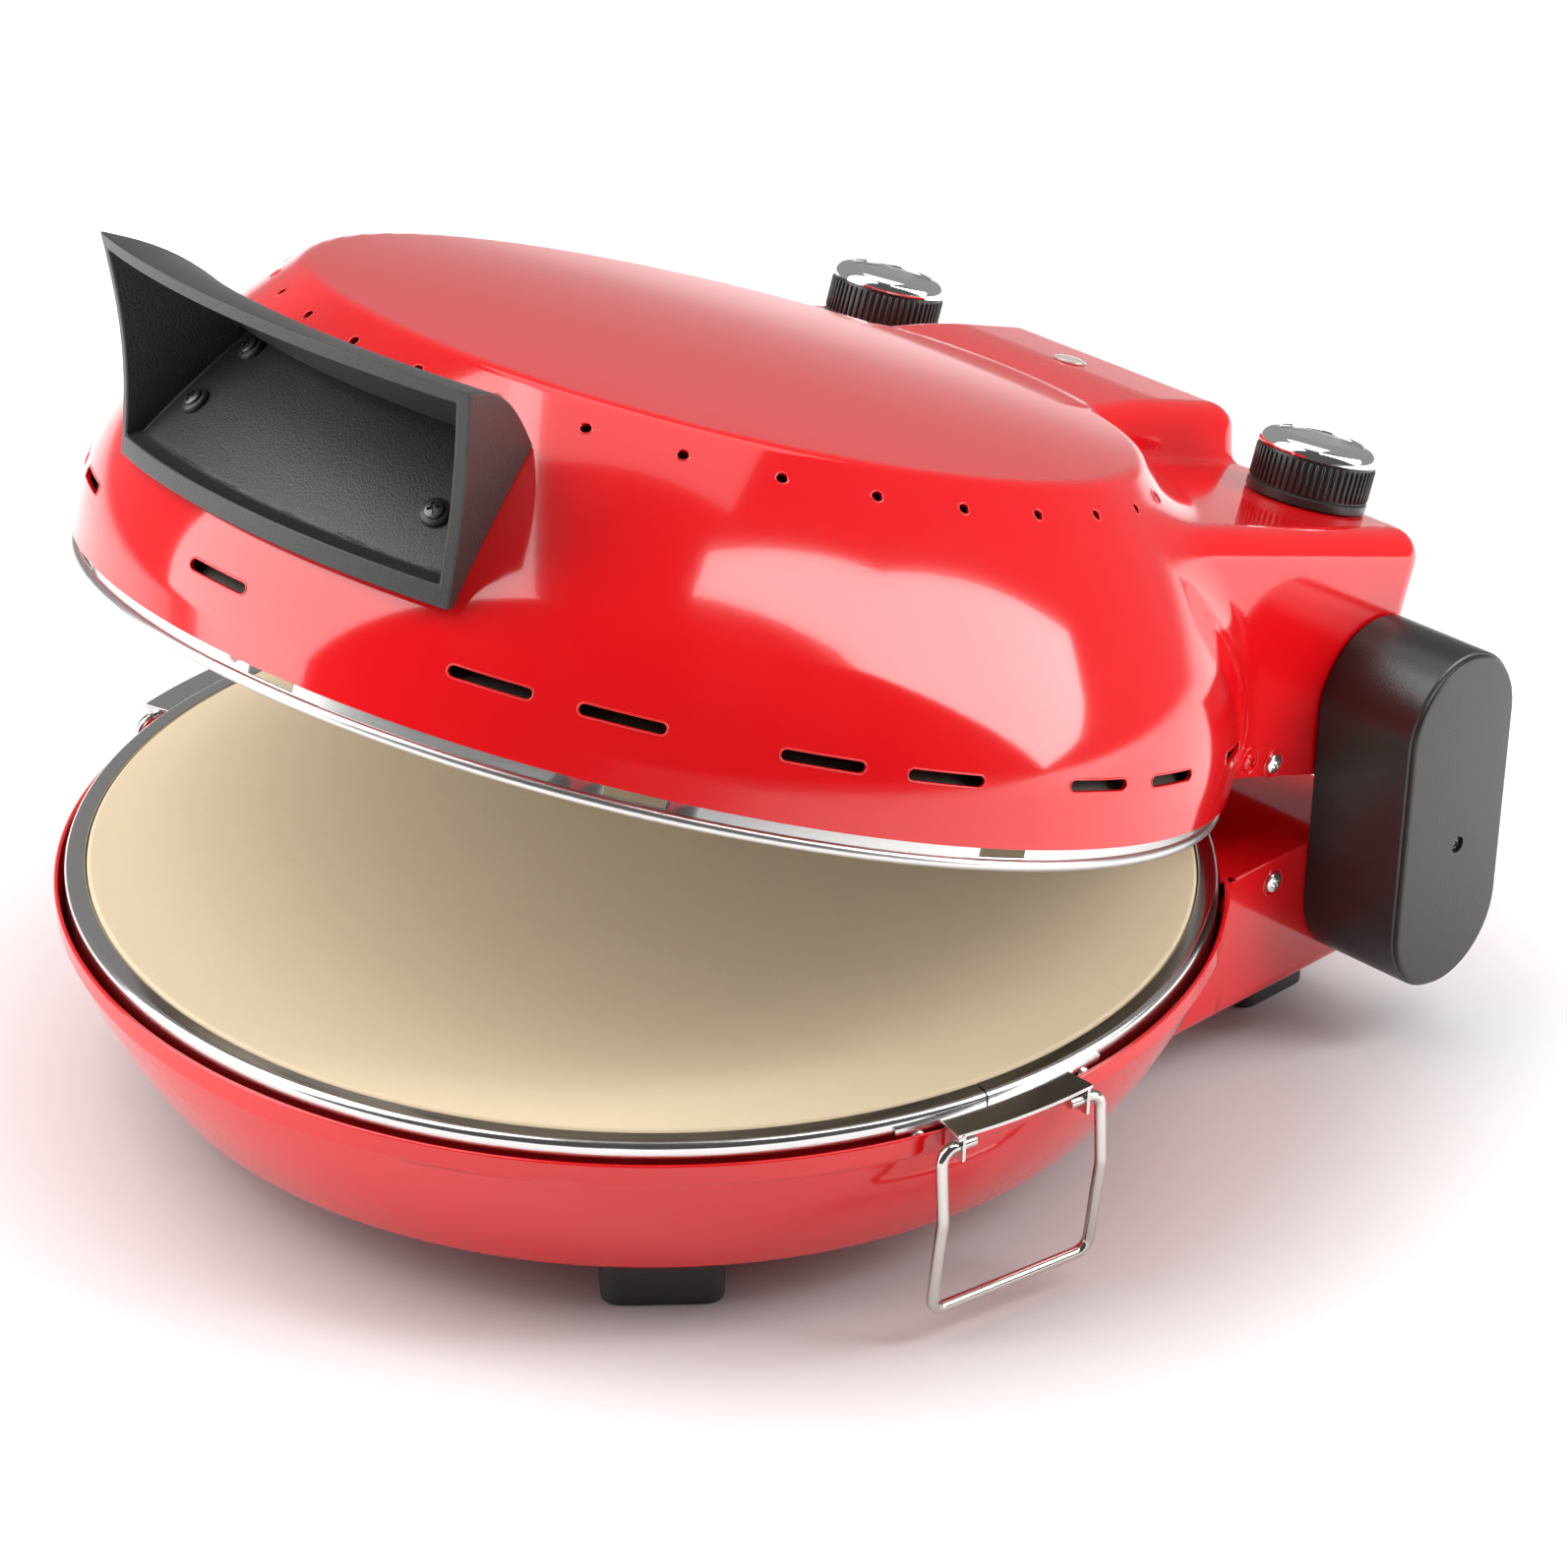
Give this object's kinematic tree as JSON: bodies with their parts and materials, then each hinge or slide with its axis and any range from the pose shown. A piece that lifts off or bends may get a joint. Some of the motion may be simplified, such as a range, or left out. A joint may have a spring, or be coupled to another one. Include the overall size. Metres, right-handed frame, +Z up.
{
  "type": "electric pizza maker",
  "caption": "Round countertop pizza oven: domed lid on rear hinges over a baking stone in a lift-out tray, turn knobs, hooded front handle",
  "frame": {"origin": "bottom centre of the bounding box with the lid at rest, on the table", "axes": "+X to the right when the handle faces you, -Y towards the user and the handle, +Z up"},
  "size_m": [0.3586, 0.3752, 0.2751],
  "materials": {
    "red_paint": "glossy red paint on steel sheet",
    "stone_face": "smooth cream cordierite",
    "bright_steel": "polished stainless steel",
    "plain_steel": "plain steel sheet",
    "zinc_steel": "zinc-plated steel",
    "aluminised": "aluminised steel sheet",
    "black_plastic": "fine-grained black moulding",
    "feet_rubber": "matt black",
    "heater_sheath": "dark oxidised sheath",
    "screw_steel": "bright screws",
    "dark_screws": "blackened screws",
    "knob_black": "black moulding",
    "knob_chrome": "bright cap",
    "disc_grey": "brushed inlay",
    "wool": "mineral wool board",
    "ceramic_white": "white terminal block",
    "lens": "pilot lamp lens",
    "brass_bush": "plain bush",
    "grey_body": "control housing"
  },
  "bodies": {
    "base": {"base_shell": "red_paint", "base_pod_cover": "red_paint", "feet": "feet_rubber", "foot_screws": "screw_steel", "base_liner": "aluminised", "liner_spacers": "zinc_steel", "lower_heater": "heater_sheath", "lower_insulators": "ceramic_white", "lower_heater_clips": "zinc_steel", "stone": "stone_face", "stone_tray": "bright_steel", "tray_bracket_right": "bright_steel", "tray_bracket_left": "bright_steel", "bracket_screws": "screw_steel", "hinge_plate_right": "zinc_steel", "hinge_plate_left": "zinc_steel", "hinge_pins": "plain_steel", "hinge_spacers": "plain_steel", "hinge_bolts": "screw_steel", "hinge_cover_right": "black_plastic", "hinge_cover_left": "black_plastic", "cover_screws": "dark_screws", "base_pod_screws": "screw_steel", "cord_gland": "black_plastic", "base_terminals": "ceramic_white"},
    "lid": {"lid_shell": "red_paint", "lid_reflector": "aluminised", "lid_insulation": "wool", "upper_heater": "heater_sheath", "upper_insulators": "ceramic_white", "upper_heater_clips": "zinc_steel", "lid_pod_plate": "red_paint", "lid_pod_screws": "screw_steel", "hinge_arm_right": "zinc_steel", "hinge_arm_left": "zinc_steel", "hinge_bushes": "brass_bush", "handle": "black_plastic", "handle_screws": "dark_screws", "timer_unit": "grey_body", "thermostat_unit": "grey_body", "lamp_lens": "lens", "lamp_holder": "black_plastic", "lid_terminals": "ceramic_white", "thermal_fuse": "zinc_steel"},
    "timer_knob": {"timer_shaft": "plain_steel", "timer_skirt": "knob_black", "timer_cap": "knob_chrome", "timer_disc": "disc_grey"},
    "thermostat_knob": {"thermostat_shaft": "plain_steel", "thermostat_skirt": "knob_black", "thermostat_cap": "knob_chrome", "thermostat_disc": "disc_grey"},
    "bail_right": {"bail_right": "bright_steel"},
    "bail_left": {"bail_left": "bright_steel"}
  },
  "joints": [
    {"name": "lid_hinge", "type": "hinge", "parent": "base", "child": "lid", "pos_m": [0, 0.1629, 0.0935], "axis": [-1, 0, 0], "range_deg": [-17.6, 67.4]},
    {"name": "timer_turn", "type": "hinge", "parent": "lid", "child": "timer_knob", "pos_m": [-0.0875, 0.16591, 0.15261], "axis": [0, -0.3024, -0.9532], "range_deg": [0, 300]},
    {"name": "thermostat_turn", "type": "hinge", "parent": "lid", "child": "thermostat_knob", "pos_m": [0.0875, 0.16591, 0.15261], "axis": [0, -0.3024, -0.9532], "range_deg": [0, 270]},
    {"name": "bail_right_swing", "type": "hinge", "parent": "base", "child": "bail_right", "pos_m": [0.17173, -0.04285, 0.0624], "axis": [-0.1426, -0.9898, 0], "range_deg": [-4, 150]},
    {"name": "bail_left_swing", "type": "hinge", "parent": "base", "child": "bail_left", "pos_m": [-0.17173, -0.04285, 0.0624], "axis": [-0.1426, 0.9898, 0], "range_deg": [-4, 150]}
  ]
}
